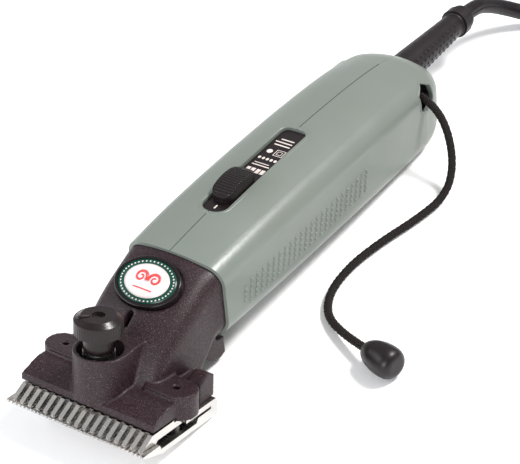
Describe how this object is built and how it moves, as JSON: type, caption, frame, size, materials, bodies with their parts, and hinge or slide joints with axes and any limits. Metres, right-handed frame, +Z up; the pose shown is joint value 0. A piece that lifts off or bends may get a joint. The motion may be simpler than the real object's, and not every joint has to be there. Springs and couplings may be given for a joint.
{
  "type": "electric sheep shears",
  "caption": "Mains-driven shearing handpiece: two-half handle with thumb switch, cast head, comb and reciprocating cutter, tension knob, lead with plug and wrist lanyard.",
  "frame": {"origin": "bottom centre of the tool without its cords, on the table it lies on", "axes": "+Y from the comb tips to the lead, +X to the left of a user who looks along the tool towards the comb, +Z up"},
  "size_m": [0.2719, 0.3983, 0.0623],
  "materials": {
    "shell_plastic": "satin moulded",
    "dark_plastic": "satin moulded",
    "head_paint": "fine textured paint",
    "badge_rim": "satin",
    "badge_face": "satin print",
    "blade_steel": "ground",
    "steel": "machined",
    "knob_plastic": "satin moulded",
    "spring_steel": "drawn wire",
    "gear_brass": "machined",
    "bush_bronze": "sintered",
    "plate_alloy": "die cast",
    "lamination": "stacked sheet",
    "copper": "enamelled wire",
    "carbon": "pressed carbon",
    "lead_rubber": "matt",
    "relief_rubber": "matt",
    "tie_strap": "woven",
    "plug_plastic": "satin",
    "lanyard_braid": "braided"
  },
  "bodies": {
    "body": {"handle_shell_right": "shell_plastic", "handle_shell_left": "shell_plastic", "shell_screws": "steel", "switch_panel": "dark_plastic", "switch_block": "dark_plastic", "head_casting": "head_paint", "badge_bezel": "badge_rim", "badge_disc": "badge_face", "comb": "blade_steel", "comb_screws": "steel", "lever_pivot_post": "steel", "tension_sleeve": "steel", "tension_spring": "spring_steel", "gear_plate": "plate_alloy", "gear_plate_screws": "steel", "spindle_bush_front": "bush_bronze", "spindle_bush_rear": "bush_bronze", "motor_plate": "plate_alloy", "motor_rear_plate": "plate_alloy", "motor_bearing_front": "steel", "motor_bearing_rear": "steel", "field_stack": "lamination", "field_coils": "copper", "brush_holders": "dark_plastic", "carbon_brushes": "carbon", "brush_springs": "spring_steel", "terminal_block": "dark_plastic", "suppressor_capacitor": "dark_plastic", "cord_clamp": "dark_plastic", "clamp_screws": "steel", "strain_relief": "relief_rubber", "strain_relief_collar": "relief_rubber", "inner_lead": "lead_rubber", "mains_lead": "lead_rubber", "lead_coil": "lead_rubber", "lead_tail": "lead_rubber", "coil_tie": "tie_strap", "plug_body": "plug_plastic", "plug_pins": "gear_brass", "lanyard_anchor": "steel", "lanyard_cord": "lanyard_braid", "lanyard_stop_cap": "dark_plastic", "lanyard_stop": "dark_plastic"},
    "switch": {"switch_slide": "dark_plastic", "switch_link": "dark_plastic"},
    "armature": {"armature_shaft": "steel", "armature_core": "lamination", "armature_windings": "copper", "commutator": "copper", "fan": "dark_plastic", "pinion": "steel"},
    "crank": {"drive_gear": "gear_brass", "crank_spindle": "steel"},
    "roller": {"crank_roller": "steel"},
    "lever": {"lever": "steel"},
    "cutter": {"cutter": "blade_steel"},
    "plunger": {"tension_plunger": "steel"},
    "knob": {"tension_knob": "knob_plastic"}
  },
  "joints": [
    {"name": "switch_slide", "type": "slide", "parent": "body", "child": "switch", "axis": [0, -0.9976, 0.0698], "range_m": [0, 0.006]},
    {"name": "armature_spin", "type": "hinge", "parent": "body", "child": "armature", "pos_m": [0, -0.03987, 0.03195], "axis": [0, 0.9976, -0.0698], "continuous": true},
    {"name": "gear_spin", "type": "hinge", "parent": "body", "child": "crank", "pos_m": [0, -0.08047, 0.02467], "axis": [0, 0.9976, -0.0698], "continuous": true},
    {"name": "roller_spin", "type": "hinge", "parent": "crank", "child": "roller", "pos_m": [0, -0.09927, 0.02819], "axis": [0, 0.9976, -0.0698], "continuous": true},
    {"name": "lever_swing", "type": "hinge", "parent": "body", "child": "lever", "pos_m": [0, -0.12496, 0.01735], "axis": [0, 0.2446, 0.9696], "range_deg": [-5.25, 5.25]},
    {"name": "cutter_slide", "type": "slide", "parent": "body", "child": "cutter", "axis": [1, 0, 0], "range_m": [-0.0022, 0.0022]},
    {"name": "plunger_lift", "type": "slide", "parent": "body", "child": "plunger", "axis": [0, 0.2446, 0.9696], "range_m": [-0.00025, 0.001], "deforming": ["tension_spring"]},
    {"name": "knob_turn", "type": "hinge", "parent": "plunger", "child": "knob", "pos_m": [0, -0.14225, 0.05265], "axis": [0, 0.2446, 0.9696], "range_deg": [-90, 360]}
  ],
  "couplings": [
    {"joint": "gear_spin", "follows": "armature_spin", "ratio": -0.29032},
    {"joint": "cutter_slide", "follows": "lever_swing", "m_per_rad": 0.024},
    {"joint": "knob_turn", "follows": "plunger_lift", "rad_per_m": 6283.2}
  ]
}
